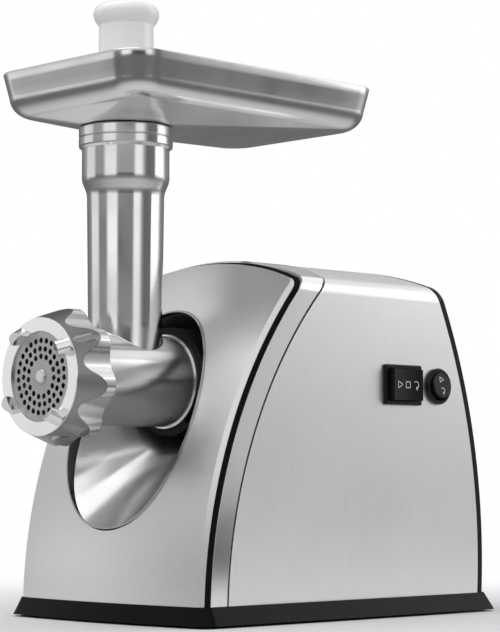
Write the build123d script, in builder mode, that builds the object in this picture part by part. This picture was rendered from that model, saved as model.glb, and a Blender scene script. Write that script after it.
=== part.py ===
from build123d import *
from math import acos, atan2, cos, hypot, pi, radians, sin, sqrt, tan
import os

# Electric meat grinder, millimetres.  +X is the switch side, -Y the outlet, +Z up.
# Lengths along Y are laid out from a line through the body; every finished piece is then moved
# by ORIGIN_SHIFT_Y, which puts the origin on the floor under the middle of the machine's box.

# --- driving dimensions -------------------------------------------------------
ORIGIN_SHIFT_Y = 2.05
AXIS_Z = 132.0              # height of the auger, plate and output shaft
NECK_Y = -80.2              # axis of the feed tube, the tray throat and the pusher

# Base
SKIRT_HALF_X = 82.2
SKIRT_FRONT_Y = -95.5
SKIRT_REAR_Y = 142.0
SKIRT_FRONT_BOW = 6.0
SKIRT_REAR_BOW = 1.5
SKIRT_SIDE_BOW = 1.0
SKIRT_LOW_Z = 1.2
SKIRT_TOP_Z = 11.0
SKIRT_FLARE = 5.0
SKIRT_CORNER = 9.0

# Body outline seen from the front: upright sides under a shallow arch
BODY_HALF_X = 77.0
BODY_CROWN_Z = 202.0
BODY_ARCH_R = 203.5
BODY_CORNER_R = 10.0

# Side view: the face leans back on a circle, and so does the rear
FACE_Y = 184.16
FACE_Z = 3.23
FACE_R = 276.0
FACE_BOW = 6.0
REAR_Y = -217.8
REAR_Z = 33.0
REAR_R = 350.0

SHEET = 0.8                 # steel wrap
PANEL_T = 1.0
PANEL_EDGE = 2.3            # depth of the panel's folded edge
PANEL_BEVEL = 2.1           # slope down both sides of the panel
PANEL_INSET = 2.0           # panel outline, from the wrap's outer face
GASKET_T = 2.0
BAND_PROUD = 0.3
SEAM_FRONT_R = 260.1        # the black seam between chrome band and wrap
SEAM_REAR_R = 258.7
SHELL_IN = 3.2              # inner face of the chassis, from the wrap's outer face
WALL = 2.5
REAR_RIM = 4.0

# Oval recess round the head
RECESS_Z = 111.0
RECESS_HALF_X = 48.5
RECESS_HALF_Z = 60.5
RECESS_LEAN = 25.4          # degrees, of the plane through the oval
RECESS_MID_Y = -69.5
RECESS_END_Y = -30.0
RECESS_END_R = 30.5
CUP_T = 1.0
CUP_LIP = 0.7

# Grinding head
BARREL_R = 25.5
BORE_R = 21.5
THREAD_R = 29.5
SEAT_R = 27.1
PLATE_R = 26.9
PLATE_T = 5.0
PLATE_Y = -139.2            # outer face of the perforated plate
PLATE_HOLE_R = 1.5
SLEEVE_R = 26.4
SLEEVE_Y = -51.0
HEAD_REAR_Y = -29.5
HEAD_WALL_Y = (-49.0, -42.0)
NUT_FRONT_Y = -140.5
NUT_REAR_Y = -118.1
NUT_FACE_R = 31.6
NUT_OPEN_R = 24.2
NUT_MID_R = 35.0
NUT_WAVE = 2.2
NUT_LOBES = 8
NUT_CONE = 0.35             # growth of radius per length, on the front cone
NUT_PHASE = 35.0            # degrees, of the first lobe
RIB_TIP_Y = -147.6          # four grip ribs, which stand out in front of the face
RIB_TIP_R = 27.6
RIB_R = 4.4
RIB_LEAN = 28.0             # degrees, from the nut's axis

# Feed tube
TUBE_LOW_R = 20.5
TUBE_MID_R = 21.4
TUBE_TOP_R = 24.3
TUBE_SHOULDER_Z = (233.0, 244.0)
SADDLE_R = 1.0               # fillet where the tube meets the barrel
TUBE_BORE_R = 18.5
MOUTH_BORE_R = 21.0
COLLAR_R = 26.1
COLLAR_LOW_Z = 260.6
COLLAR_MID_Z = 266.0
COLLAR_TOP_Z = 271.8

# Tray
TRAY_X = 124.0
TRAY_Y = 191.4
TRAY_MID_Y = -32.1
TRAY_RIM_Z = 304.0
TRAY_CORNER = 19.0
TRAY_FLOOR_Z = 281.5
TRAY_T = 1.8
THROAT_R = 17.4
SPIGOT_R = 20.7
SPIGOT_LOW_Z = 246.0

# Pusher
PUSHER_R = 15.4
PUSHER_NECK_R = 15.2
PUSHER_HEAD_R = 18.4
PUSHER_LOW_Z = 153.6
PUSHER_RIM_Z = 336.0        # height of the head's widest circle
PUSHER_TOP_Z = 342.6

# Gear train: motor pinion, two compound gears, output gear
MOTOR_Z = 66.0
M1 = 1.0
M2 = 1.25
M3 = 1.75
T_PINION = 12
T_FIRST = 60
T_FIRST_PINION = 13
T_SECOND = 52
T_SECOND_PINION = 13
T_OUTPUT = 48
SECOND_X = 30.0
GEARBOX_FRONT_Y = -26.0
GEARBOX_REAR_Y = 17.0
GEARBOX_WALL = 3.0

# Switches on the +X side
ROCKER_Y = 62.1
ROCKER_SIZE = (30.8, 23.0)
ROUND_Y = 92.7
ROUND_R = 10.5
SWITCH_Z = 131.1

FIT = 0.05                  # running clearance on the radius
FORWARD = (0, -1, 0)

os.makedirs("parts", exist_ok=True)


def write(builder, label):
    """Name a finished piece and write it as its own file."""
    piece = builder.part.moved(Location((0, ORIGIN_SHIFT_Y, 0)))
    piece.label = label
    export_step(piece, "parts/" + label + ".step")


def xz(y):
    """Plane whose sketch X and Y are the machine's X and Z, at depth y, facing -Y."""
    return Plane.XZ.offset(-y)


def bar_y(radius, y0, y1, x, z):
    """Round bar along Y."""
    with BuildPart() as piece:
        with BuildSketch(xz(y1)):
            with Locations((x, z)):
                Circle(radius)
        extrude(amount=y1 - y0)
    return piece.part


# --- body surfaces ------------------------------------------------------------
def body_block(inset, low=SKIRT_TOP_Z):
    """The body's front outline, moved inwards by inset, as a long bar along Y."""
    half = BODY_HALF_X - inset
    crown = BODY_CROWN_Z - inset
    arch = BODY_ARCH_R - inset
    spring = crown - arch + sqrt(arch**2 - half**2)
    with BuildPart() as block:
        with BuildSketch(xz(160)) as outline:
            with BuildLine():
                Line((-half, low), (-half, spring))
                ThreePointArc((-half, spring), (0, crown), (half, spring))
                Line((half, spring), (half, low))
                Line((half, low), (-half, low))
            make_face()
            upper = outline.vertices().group_by(Axis.Y)[-1]
            fillet(upper, max(BODY_CORNER_R - inset, 2.0))
        extrude(amount=300)
    return block.part


def face_solid(extra, bow=FACE_BOW, bevel=0.0):
    """Everything behind the leaning, bowed face, moved forwards by extra."""
    reach = BODY_HALF_X + 1
    half = BODY_HALF_X - PANEL_INSET if bevel else reach
    crown = FACE_Y - FACE_R - extra - bow
    side = crown + bow * (half / reach) ** 2
    with BuildPart() as solid:
        with BuildSketch(Plane.XY.offset(FACE_Z)) as plan:
            with BuildLine():
                if bow:
                    ThreePointArc((-half, side), (0, crown), (half, side))
                else:
                    Line((-half, side), (half, side))
                Polyline((half, side), (half, FACE_Y), (-half, FACE_Y), (-half, side))
            make_face()
            if bevel:
                chamfer(plan.vertices().group_by(Axis.Y)[0], bevel)
        revolve(axis=Axis((0, FACE_Y, FACE_Z), (-1, 0, 0)), revolution_arc=90)
    return solid.part


def rear_solid(extra):
    """Everything in front of the curved rear, moved backwards by extra."""
    with BuildPart() as solid:
        with BuildSketch(Plane.YZ):
            with Locations((REAR_Y, REAR_Z)):
                Circle(REAR_R + extra)
        extrude(amount=BODY_HALF_X + 5, both=True)
    return solid.part


def oval_bar(grow):
    """The oval of the recess as a straight bar along Y."""
    with BuildPart() as bar:
        with BuildSketch(xz(FACE_Y - 170)):
            with Locations((0, RECESS_Z)):
                Ellipse(RECESS_HALF_X + grow, RECESS_HALF_Z + grow)
        extrude(amount=200)
    return bar.part


block_outer = body_block(0)
block_sheet = body_block(SHEET)
face_panel = face_solid(0, bevel=PANEL_BEVEL)
face_gasket = face_solid(-PANEL_EDGE)
face_band = face_solid(-PANEL_EDGE - GASKET_T)
face_wall = face_solid(-PANEL_EDGE - GASKET_T - WALL)
rear_cover_skin = rear_solid(0)
rear_edge = rear_solid(-REAR_RIM)

# --- front panel: brushed steel pan with an oval opening ------------------------
with BuildPart() as front_panel:
    add(body_block(PANEL_INSET))
    add(face_panel, mode=Mode.INTERSECT)
    add(face_gasket, mode=Mode.SUBTRACT)
    add(body_block(PANEL_INSET + PANEL_BEVEL) & face_solid(-PANEL_T), mode=Mode.SUBTRACT)
    add(oval_bar(CUP_T), mode=Mode.SUBTRACT)
write(front_panel, "front_panel")

# --- gasket: black rubber frame between panel and chrome band -------------------
with BuildPart() as panel_gasket:
    add(body_block(1.0))
    add(face_gasket, mode=Mode.INTERSECT)
    add(face_band, mode=Mode.SUBTRACT)
    add(body_block(8.0, low=0), mode=Mode.SUBTRACT)
write(panel_gasket, "panel_gasket")

# --- chrome band: bright frame behind the gasket --------------------------------
with BuildPart() as chrome_band:
    add(body_block(-BAND_PROUD))
    add(face_band, mode=Mode.INTERSECT)
    add(face_solid(SEAM_FRONT_R - FACE_R, bow=0), mode=Mode.SUBTRACT)
    add(body_block(SHEET, low=0), mode=Mode.SUBTRACT)
write(chrome_band, "chrome_band")

# --- wrap: brushed steel sheet over both sides and the top ----------------------
with BuildPart() as steel_wrap:
    add(block_outer)
    add(face_solid(SEAM_REAR_R - FACE_R, bow=0), mode=Mode.INTERSECT)
    add(rear_edge, mode=Mode.INTERSECT)
    add(body_block(SHEET, low=0), mode=Mode.SUBTRACT)
    with BuildSketch(Plane.YZ.offset(BODY_HALF_X - 5)):
        with Locations((ROCKER_Y, SWITCH_Z)):
            Rectangle(ROCKER_SIZE[0] - 3, ROCKER_SIZE[1] - 3)
        with Locations((ROUND_Y, SWITCH_Z)):
            Circle(ROUND_R - 1.5)
    extrude(amount=10, mode=Mode.SUBTRACT)
write(steel_wrap, "steel_wrap")

# --- chassis: black plastic shell that carries the skins ------------------------
with BuildPart() as chassis:
    add(block_sheet)
    add(face_band, mode=Mode.INTERSECT)
    add(rear_solid(-REAR_RIM), mode=Mode.INTERSECT)
    add(body_block(SHELL_IN, low=0) & face_wall, mode=Mode.SUBTRACT)
    add(oval_bar(CUP_T + 0.4), mode=Mode.SUBTRACT)
    with BuildSketch(Plane.YZ.offset(BODY_HALF_X - 5)):
        with Locations((ROCKER_Y, SWITCH_Z)):
            Rectangle(ROCKER_SIZE[0] - 3, ROCKER_SIZE[1] - 3)
        with Locations((ROUND_Y, SWITCH_Z)):
            Circle(ROUND_R - 1.5)
    extrude(amount=10, mode=Mode.SUBTRACT)
write(chassis, "chassis")

# --- rear cover: black, with cooling slots and a hole for the cord gland --------
GLAND = (-38.0, 34.0)
GLAND_R = 7.0
GLAND_FLANGE = (9.5, 2.5)    # radius and thickness
GLAND_BORE_R = 3.8
GLAND_LENGTH = 14.2
SLOT = (72.0, 3.4)           # cooling slots of the rear cover
SLOT_STEP = 8.0
SLOT_MID_Z = 124.0
with BuildPart() as rear_cover:
    add(block_outer)
    add(rear_cover_skin, mode=Mode.INTERSECT)
    add(rear_edge, mode=Mode.SUBTRACT)
    lip = body_block(SHELL_IN + 0.1) & rear_edge
    lip -= body_block(SHELL_IN + 2.1, low=0)
    lip -= rear_solid(-REAR_RIM - 8)
    add(lip)
    with BuildSketch(xz(160)):
        with Locations((0, SLOT_MID_Z)):
            with GridLocations(0, SLOT_STEP, 1, 9):
                SlotOverall(*SLOT)
        with Locations(GLAND):
            Circle(GLAND_R)
    extrude(amount=100, mode=Mode.SUBTRACT)
write(rear_cover, "rear_cover")

# Gland in the rear cover: a flanged bush with a through hole for a mains lead
GLAND_Y = REAR_Y + sqrt(REAR_R**2 - (GLAND[1] - REAR_Z)**2)
GLAND_OUT_Y = GLAND_Y + GLAND_FLANGE[1]
with BuildPart() as cord_gland:
    add(bar_y(GLAND_FLANGE[0], GLAND_Y + 0.2, GLAND_OUT_Y, *GLAND))
    add(bar_y(GLAND_R - 0.02, GLAND_OUT_Y - GLAND_LENGTH, GLAND_Y + 0.3, *GLAND))
    add(bar_y(GLAND_BORE_R, GLAND_OUT_Y - GLAND_LENGTH - 1, GLAND_OUT_Y + 1, *GLAND), mode=Mode.SUBTRACT)
write(cord_gland, "cord_gland")

# --- base skirt: flared black tray under the body --------------------------------
def skirt_outline(shrink, front_shrink, z):
    """Bowed plan outline of the base at height z."""
    half = SKIRT_HALF_X - shrink
    front = SKIRT_FRONT_Y + front_shrink
    rear = SKIRT_REAR_Y - shrink
    middle = (front + rear) / 2
    with BuildSketch(Plane.XY.offset(z)) as outline:
        with BuildLine():
            ThreePointArc((-half, front), (0, front - SKIRT_FRONT_BOW), (half, front))
            ThreePointArc((half, front), (half + SKIRT_SIDE_BOW, middle), (half, rear))
            ThreePointArc((half, rear), (0, rear + SKIRT_REAR_BOW), (-half, rear))
            ThreePointArc((-half, rear), (-half - SKIRT_SIDE_BOW, middle), (-half, front))
        make_face()
        fillet(outline.vertices(), SKIRT_CORNER - shrink / 2)
    return outline.sketch


POCKET = (144.0, 212.0)      # room for the bottom plate, X and Y
POCKET_Y = 25.0
POCKET_TOP_Z = 7.0
POCKET_LEDGE = 14.0          # ledge all round that the bottom plate is screwed to
SCREW_X = 64.0
SCREW_Y = 98.0
SCREW_R = 1.6
SCREW_HEAD = (3.4, 1.6)      # radius and height
FOOT_X = 52.0
FOOT_Y = 88.0
FOOT_R = 9.0
STEM_R = 3.0
with BuildPart() as base_skirt:
    loft([skirt_outline(0, 0, SKIRT_LOW_Z), skirt_outline(SKIRT_FLARE, 3.0, SKIRT_TOP_Z)])
    with BuildSketch(Plane.XY):
        with Locations((0, POCKET_Y)):
            RectangleRounded(POCKET[0], POCKET[1], 6)
    extrude(amount=POCKET_TOP_Z, mode=Mode.SUBTRACT)
    with BuildSketch(Plane.XY):
        with Locations((0, POCKET_Y)):
            RectangleRounded(POCKET[0] - 2 * POCKET_LEDGE, POCKET[1] - 2 * POCKET_LEDGE, 10)
    extrude(amount=20, mode=Mode.SUBTRACT)
    with BuildSketch(Plane.XY):
        with Locations((0, POCKET_Y)):
            with GridLocations(2 * SCREW_X, 2 * SCREW_Y, 2, 2):
                Circle(SCREW_R)
    extrude(amount=10, mode=Mode.SUBTRACT)
write(base_skirt, "base_skirt")

# Bottom plate: closes the base from below, with a field of air slots
PLATE_LOW_Z = 3.0
with BuildPart() as bottom_plate:
    with BuildSketch(Plane.XY.offset(PLATE_LOW_Z)):
        with Locations((0, POCKET_Y)):
            RectangleRounded(POCKET[0] - 0.6, POCKET[1] - 0.6, 5.7)
            with GridLocations(2 * SCREW_X, 2 * SCREW_Y, 2, 2):
                Circle(SCREW_R + 0.3, mode=Mode.SUBTRACT)
            with GridLocations(0, 9, 1, 9):
                SlotOverall(64, 3.6, mode=Mode.SUBTRACT)
            with GridLocations(2 * FOOT_X, 2 * FOOT_Y, 2, 2):
                Circle(STEM_R, mode=Mode.SUBTRACT)
    extrude(amount=POCKET_TOP_Z - PLATE_LOW_Z)
write(bottom_plate, "bottom_plate")

# Feet: four rubber discs, each with a stem pressed into the bottom plate
with BuildPart() as rubber_feet:
    with BuildSketch(Plane.XY):
        with Locations((0, POCKET_Y)):
            with GridLocations(2 * FOOT_X, 2 * FOOT_Y, 2, 2):
                Circle(FOOT_R)
    extrude(amount=PLATE_LOW_Z)
    chamfer(rubber_feet.edges().group_by(Axis.Z)[0], 0.6)
    with BuildSketch(Plane.XY.offset(PLATE_LOW_Z)):
        with Locations((0, POCKET_Y)):
            with GridLocations(2 * FOOT_X, 2 * FOOT_Y, 2, 2):
                Circle(STEM_R)
    extrude(amount=POCKET_TOP_Z - PLATE_LOW_Z)
write(rubber_feet, "rubber_feet")

with BuildPart() as base_screws:
    with BuildSketch(Plane.XY.offset(PLATE_LOW_Z - SCREW_HEAD[1])):
        with Locations((0, POCKET_Y)):
            with GridLocations(2 * SCREW_X, 2 * SCREW_Y, 2, 2):
                Circle(SCREW_HEAD[0])
    extrude(amount=SCREW_HEAD[1])
    with BuildSketch(Plane.XY.offset(PLATE_LOW_Z)):
        with Locations((0, POCKET_Y)):
            with GridLocations(2 * SCREW_X, 2 * SCREW_Y, 2, 2):
                Circle(SCREW_R)
    extrude(amount=6.5)
    with BuildSketch(Plane.XY.offset(PLATE_LOW_Z - SCREW_HEAD[1])):
        with Locations((0, POCKET_Y)):
            with GridLocations(2 * SCREW_X, 2 * SCREW_Y, 2, 2):
                Rectangle(3.6, 0.8)
                Rectangle(0.8, 3.6)
    extrude(amount=1.0, mode=Mode.SUBTRACT)
write(base_screws, "base_screws")

# --- recess cup: polished steel dish from the oval down to a round mouth ----------
def recess_section(grow, shift):
    """Oval of the recess on a leaning plane, moved along Y by shift."""
    lean = RECESS_LEAN
    plane = Plane(
        origin=(0, RECESS_MID_Y + shift, RECESS_Z),
        x_dir=(1, 0, 0),
        z_dir=(0, -cos(radians(lean)), sin(radians(lean))),
    )
    with BuildSketch(plane) as section:
        Ellipse(RECESS_HALF_X + grow, (RECESS_HALF_Z + grow) / cos(radians(lean)))
    return section.sketch


def recess_solid(grow):
    """The hollow of the recess: a short oval wall, then a funnel to the mouth."""
    with BuildPart() as hollow:
        loft([recess_section(grow, -30), recess_section(grow, 3)])
        with BuildSketch(xz(RECESS_END_Y)) as mouth:
            with Locations((0, AXIS_Z)):
                Circle(RECESS_END_R + grow)
        loft([recess_section(grow, 3), mouth.sketch])
    return hollow.part


with BuildPart() as recess_cup:
    add(recess_solid(CUP_T))
    add(recess_solid(0), mode=Mode.SUBTRACT)
    add(face_solid(CUP_LIP), mode=Mode.INTERSECT)
write(recess_cup, "recess_cup")

# --- head socket: black ring that takes the rear of the grinding head -------------
LUG_R = 28.0
LUG_Y = (-41.0, -37.0)
LUG_ANGLE = 30.0
UNLOCK_ANGLE = 40.0
SOCKET_FRONT_Y = -48.5


def sector_bar(inner, outer, middle, width, y0, y1):
    """Bar along Y with a ring-sector section about the auger's axis, angles in degrees."""
    low = middle - width / 2
    with BuildPart() as piece:
        with BuildSketch(axis_plane(y1)):
            with BuildLine():
                CenterArc((0, 0), inner, low, width)
                CenterArc((0, 0), outer, low, width)
                for angle in (low, low + width):
                    Line((inner * cos(radians(angle)), inner * sin(radians(angle))),
                         (outer * cos(radians(angle)), outer * sin(radians(angle))))
            make_face()
        extrude(amount=y1 - y0)
    return piece.part


def axis_plane(y):
    """Plane facing -Y whose origin is on the auger's axis."""
    return Plane(origin=(0, y, AXIS_Z), x_dir=(1, 0, 0), z_dir=(0, -1, 0))


with BuildPart() as head_socket:
    add(bar_y(RECESS_END_R - 0.1, SOCKET_FRONT_Y, GEARBOX_FRONT_Y, 0, AXIS_Z))
    add(bar_y(RECESS_END_R + 5, RECESS_END_Y + 0.05, GEARBOX_FRONT_Y, 0, AXIS_Z))
    add(bar_y(SLEEVE_R + FIT, SOCKET_FRONT_Y - 1, GEARBOX_FRONT_Y + 1, 0, AXIS_Z), mode=Mode.SUBTRACT)
    add(bar_y(LUG_R + 0.3, LUG_Y[0] - 0.3, LUG_Y[1] + 0.3, 0, AXIS_Z), mode=Mode.SUBTRACT)
    for side in (0, 180):
        way_in = side - UNLOCK_ANGLE
        add(sector_bar(SLEEVE_R - 1, LUG_R + 0.3, way_in, LUG_ANGLE + 4, LUG_Y[1] - 20, LUG_Y[1]),
            mode=Mode.SUBTRACT)
write(head_socket, "head_socket")

# --- head casting: barrel, thread for the ring nut, feed tube and its collar --------
THREAD_END_Y = -124.0
SEAT_END_Y = -127.0
REAR_SKIRT_R = 22.0
PIN_R = 1.5                  # locating pin in the plate seat
AUGER_NECK_R = 7.0
with BuildPart() as head_casting:
    add(bar_y(BARREL_R, -130, SLEEVE_Y, 0, AXIS_Z))
    with BuildSketch(Plane.XZ.offset(-NECK_Y)):
        with BuildLine():
            Polyline((0, AXIS_Z), (TUBE_LOW_R, AXIS_Z), (TUBE_LOW_R, 164), (TUBE_MID_R, TUBE_SHOULDER_Z[0]))
            Spline((TUBE_MID_R, TUBE_SHOULDER_Z[0]), (TUBE_TOP_R, TUBE_SHOULDER_Z[1]),
                   tangents=((0.02, 1), (0, 1)))
            Polyline(
                (TUBE_TOP_R, TUBE_SHOULDER_Z[1]), (TUBE_TOP_R, COLLAR_LOW_Z - 1.2),
                (COLLAR_R - 0.3, COLLAR_LOW_Z), (COLLAR_R, COLLAR_LOW_Z + 0.8),
                (COLLAR_R, COLLAR_MID_Z - 0.6), (COLLAR_R - 0.7, COLLAR_MID_Z),
                (COLLAR_R, COLLAR_MID_Z + 0.6), (COLLAR_R, COLLAR_TOP_Z - 0.8),
                (COLLAR_R - 0.8, COLLAR_TOP_Z), (0, COLLAR_TOP_Z), (0, AXIS_Z),
            )
        make_face()
    revolve(axis=Axis((0, NECK_Y, 0), (0, 0, 1)))
    saddle = head_casting.edges().filter_by(GeomType.BSPLINE)
    fillet(saddle, SADDLE_R)
    add(bar_y(THREAD_R, PLATE_Y + 0.2, THREAD_END_Y, 0, AXIS_Z))
    add(bar_y(SLEEVE_R, SLEEVE_Y, HEAD_REAR_Y, 0, AXIS_Z))
    for side in (0, 180):
        add(sector_bar(SLEEVE_R - 1, LUG_R, side, LUG_ANGLE, LUG_Y[0], LUG_Y[1]))
    # hollows: plate seat, auger bore, rear skirt, feed bore and mouth
    add(bar_y(SEAT_R, PLATE_Y - 1, SEAT_END_Y, 0, AXIS_Z), mode=Mode.SUBTRACT)
    add(bar_y(BORE_R, SEAT_END_Y - 1, HEAD_WALL_Y[0], 0, AXIS_Z), mode=Mode.SUBTRACT)
    add(bar_y(AUGER_NECK_R + FIT, HEAD_WALL_Y[0] - 1, HEAD_REAR_Y, 0, AXIS_Z), mode=Mode.SUBTRACT)
    add(bar_y(REAR_SKIRT_R, HEAD_WALL_Y[1], HEAD_REAR_Y + 1, 0, AXIS_Z), mode=Mode.SUBTRACT)
    with BuildSketch(Plane(origin=(0, NECK_Y, AXIS_Z))):
        Circle(TUBE_BORE_R)
    extrude(amount=150, mode=Mode.SUBTRACT)
    with BuildSketch(Plane(origin=(0, NECK_Y, SPIGOT_LOW_Z - 0.5))):
        Circle(MOUTH_BORE_R)
    extrude(amount=50, mode=Mode.SUBTRACT)
    add(bar_y(PIN_R, PLATE_Y, SEAT_END_Y, 0, AXIS_Z + SEAT_R), mode=Mode.SUBTRACT)
write(head_casting, "head_casting")

# Locating pin: keeps the plate from turning
with BuildPart() as locating_pin:
    add(bar_y(PIN_R, PLATE_Y + 0.3, SEAT_END_Y, 0, AXIS_Z + SEAT_R))
write(locating_pin, "locating_pin")

# --- perforated plate: three rings of holes round the centre bore -------------------
CENTRE_PIN_R = 4.0           # end of the auger, which turns in the plate
HOLE_RINGS = ((10.8, 15), (14.9, 21), (19.3, 27))
with BuildPart() as perforated_plate:
    with BuildSketch(axis_plane(PLATE_Y + PLATE_T)):
        Circle(PLATE_R)
        for ring_r, holes in HOLE_RINGS:
            with PolarLocations(ring_r, holes, start_angle=4 * ring_r):
                Circle(PLATE_HOLE_R, mode=Mode.SUBTRACT)
        Circle(CENTRE_PIN_R + FIT, mode=Mode.SUBTRACT)
        with Locations((0, SEAT_R)):
            Circle(PIN_R + 0.2, mode=Mode.SUBTRACT)
    extrude(amount=PLATE_T)
write(perforated_plate, "perforated_plate")

# --- ring nut: cast nut with eight lobes and four half-round grip ribs ---------------
def nut_outline(front_y):
    """Eight lobes and eight hollows, each one arc, from front_y to the rear of the nut."""
    quarter = 360 / NUT_LOBES / 4
    with BuildPart() as bar:
        with BuildSketch(axis_plane(NUT_REAR_Y)):
            with BuildLine():
                for half_wave in range(2 * NUT_LOBES):
                    middle = NUT_PHASE + 2 * quarter * half_wave
                    crest = NUT_MID_R + NUT_WAVE * (1 if half_wave % 2 == 0 else -1)
                    places = ((NUT_MID_R, -quarter), (crest, 0), (NUT_MID_R, quarter))
                    ThreePointArc(*[(r * cos(radians(middle + a)), r * sin(radians(middle + a)))
                                    for r, a in places])
            make_face()
        extrude(amount=NUT_REAR_Y - front_y)
    return bar.part


def nut_cone():
    """Cone that shapes the front of the nut."""
    rear_r = NUT_FACE_R + NUT_CONE * (NUT_REAR_Y - NUT_FRONT_Y)
    with BuildPart() as cone:
        with BuildSketch(Plane.XY.offset(AXIS_Z)):
            with BuildLine():
                Polyline((0, NUT_FRONT_Y), (NUT_FACE_R, NUT_FRONT_Y), (rear_r, NUT_REAR_Y),
                         (0, NUT_REAR_Y), (0, NUT_FRONT_Y))
            make_face()
        revolve(axis=Axis((0, 0, AXIS_Z), (0, 1, 0)))
    return cone.part


def grip_rib(angle):
    """Round bar over one lobe.  Its ridge starts at the rib's tip and leans outwards to the rear."""
    lean = radians(RIB_LEAN)
    radius = RIB_TIP_R - RIB_R * cos(lean)
    towards = (sin(lean) * cos(radians(angle)), cos(lean), sin(lean) * sin(radians(angle)))
    start = (
        radius * cos(radians(angle)),
        RIB_TIP_Y + RIB_R * sin(lean),
        AXIS_Z + radius * sin(radians(angle)),
    )
    with BuildPart() as rib:
        with BuildSketch(Plane(origin=start, z_dir=towards)):
            Circle(RIB_R)
        extrude(amount=27)
    return rib.part


with BuildPart() as ring_nut:
    add(nut_outline(NUT_FRONT_Y) & nut_cone())
    for quarter in range(4):
        add(grip_rib(NUT_PHASE + 90 * quarter) & nut_outline(RIB_TIP_Y - 1))
    add(bar_y(NUT_OPEN_R, RIB_TIP_Y - 1, PLATE_Y, 0, AXIS_Z), mode=Mode.SUBTRACT)
    add(bar_y(THREAD_R + FIT, PLATE_Y - 0.1, NUT_REAR_Y + 1, 0, AXIS_Z), mode=Mode.SUBTRACT)
write(ring_nut, "ring_nut")

# --- knife: four-armed cutter on the auger's square pin -------------------------------
KNIFE_REAR_Y = -129.0
SQUARE = 8.0
with BuildPart() as knife:
    with BuildSketch(axis_plane(KNIFE_REAR_Y)):
        Circle(9.5)
        with PolarLocations(0, 4):
            with Locations((14.0, 2.0)):
                Trapezoid(20, 8.5, 80, 86, rotation=0)
        RectangleRounded(SQUARE + 0.06, SQUARE + 0.06, 0.3, mode=Mode.SUBTRACT)
    extrude(amount=KNIFE_REAR_Y - (PLATE_Y + PLATE_T + 0.1))
write(knife, "knife")

# --- auger: tapered core with a helical flight, square pin and hexagonal drive end ----
FLIGHT_Y = (-125.0, -56.0)
FLIGHT_PITCH = 23.0
FLIGHT_R = 20.6
FLIGHT_MID_R = 14.0
CORE_REAR = (-51.5, 11.5)    # depth and radius of the core's two ends
CORE_FRONT = (-128.5, 7.0)
COLLAR_Y = -56.0
HEX_HALF = 5.5               # half the width across flats of the drive
with BuildPart() as auger:
    for end_y, end_r in (CORE_REAR, CORE_FRONT):
        with BuildSketch(axis_plane(end_y)):
            Circle(end_r)
    loft()
    with BuildLine() as flight_path:
        Helix(
            pitch=FLIGHT_PITCH, height=FLIGHT_Y[1] - FLIGHT_Y[0], radius=FLIGHT_MID_R,
            center=(0, FLIGHT_Y[0], AXIS_Z), direction=(0, 1, 0),
        )
    start = flight_path.line @ 0
    radial = Vector(start.X, 0, start.Z - AXIS_Z).normalized()
    with BuildSketch(Plane(origin=start, x_dir=radial, z_dir=flight_path.line % 0)):
        Trapezoid(4.5, 2 * (FLIGHT_R - FLIGHT_MID_R), 84, rotation=-90)
    sweep(path=flight_path.line, is_frenet=True)
    add(bar_y(BORE_R - 0.6, COLLAR_Y, CORE_REAR[0], 0, AXIS_Z))
    with BuildSketch(axis_plane(CORE_FRONT[0])):
        RectangleRounded(SQUARE, SQUARE, 0.3)
    extrude(amount=5.5)
    add(bar_y(CENTRE_PIN_R, PLATE_Y - 1.0, CORE_FRONT[0], 0, AXIS_Z))
    fillet(auger.edges().sort_by(Axis.Y)[0], 0.9)
    add(bar_y(AUGER_NECK_R, CORE_REAR[0], -41.0, 0, AXIS_Z))
    with BuildSketch(axis_plane(-27.0)):
        RegularPolygon(HEX_HALF, 6, major_radius=False)
    extrude(amount=14.0)
write(auger, "auger")

# Thrust washer: nylon disc between the auger's collar and the barrel's rear wall
with BuildPart() as thrust_washer:
    add(bar_y(20.0, CORE_REAR[0], HEAD_WALL_Y[0] - 0.1, 0, AXIS_Z))
    add(bar_y(AUGER_NECK_R + 0.02, -52, -48, 0, AXIS_Z), mode=Mode.SUBTRACT)
write(thrust_washer, "thrust_washer")

# --- tray: deep rectangular aluminium pan with a throat over the feed tube --------------
FLANGE_R = 24.5              # underside of the tray, on top of the collar
FLOOR_THROAT_R = 21.0
# Wall and fold of the tray: height above the floor's edge, and inset from the rim
TRAY_STEPS = ((8.0, 1.2), (3.2, 3.4), (0.0, 9.0))


def tray_section(z, inset):
    """Rounded rectangle of the tray at height z, inset from the rim."""
    with BuildSketch(Plane(origin=(0, TRAY_MID_Y, z))) as section:
        RectangleRounded(TRAY_X - 2 * inset, TRAY_Y - 2 * inset, TRAY_CORNER - inset * 0.6)
    return section.sketch


def throat_section(z, radius):
    """Nearly round square at the throat, so that the floor lofts without a twist."""
    with BuildSketch(Plane(origin=(0, NECK_Y, z))) as section:
        RectangleRounded(2 * radius, 2 * radius, radius - 0.5)
    return section.sketch


def tray_body(inset, drop, throat_r, top):
    """Walls, rounded fold and sloping floor, as a solid."""
    sections = [tray_section(top, inset)]
    for height, step in TRAY_STEPS:
        sections.append(tray_section(TRAY_FLOOR_Z + height + drop, step + inset))
    sections.append(throat_section(COLLAR_TOP_Z + 0.3 + drop, throat_r))
    with BuildPart() as body:
        for upper, lower in zip(sections, sections[1:]):
            loft([upper, lower], ruled=True)
    return body.part


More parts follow.
